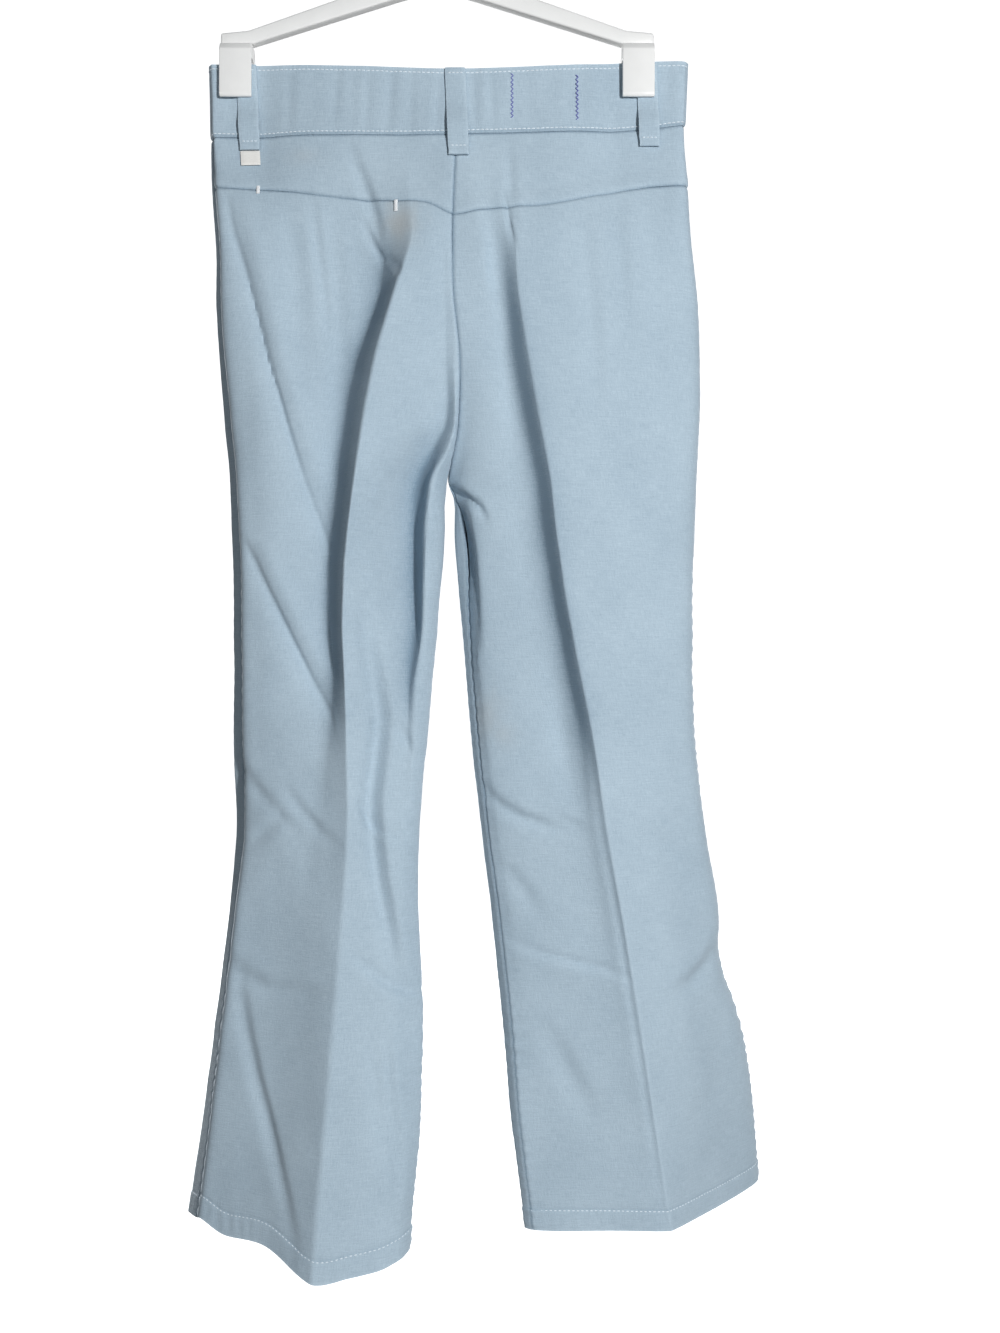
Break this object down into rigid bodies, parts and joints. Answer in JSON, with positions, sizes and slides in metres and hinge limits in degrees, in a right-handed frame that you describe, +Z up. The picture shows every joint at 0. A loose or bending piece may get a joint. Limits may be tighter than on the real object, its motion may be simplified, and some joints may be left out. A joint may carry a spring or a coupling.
{
  "type": "flared trousers on a clip hanger",
  "caption": "Light blue flared trousers with back yokes, belt loops and pressed creases, hanging open from a moulded hanger that grips the waistband with a clip at each end.",
  "frame": {"origin": "where the inside of the hanger's hook bears on its rail", "axes": "+Z up, +X to the right when the back of the trousers faces the viewer, -Y towards that viewer"},
  "size_m": [0.4419, 0.1723, 0.98],
  "materials": {
    "cloth": "slubby plain-weave cotton blend, light blue, matt",
    "button": "smooth, soft gloss",
    "tab": "plain white woven tape, bare",
    "hook": "white coated wire",
    "hanger": "white moulded plastic, satin"
  },
  "bodies": {
    "root": {"waistband_back": "cloth", "waistband_front_left": "cloth", "waistband_front_right": "cloth", "yoke_left": "cloth", "yoke_right": "cloth", "back_left": "cloth", "back_right": "cloth", "front_left": "cloth", "front_right": "cloth", "belt_loop_back_centre": "cloth", "belt_loop_back_left": "cloth", "belt_loop_back_right": "cloth", "belt_loop_front_left": "cloth", "belt_loop_front_right": "cloth", "fly": "cloth", "waist_button": "button", "label_tab": "tab", "hanger_hook": "hook", "hanger_bar": "hanger", "clip_left": "hanger", "clip_right": "hanger"}
  },
  "joints": []
}
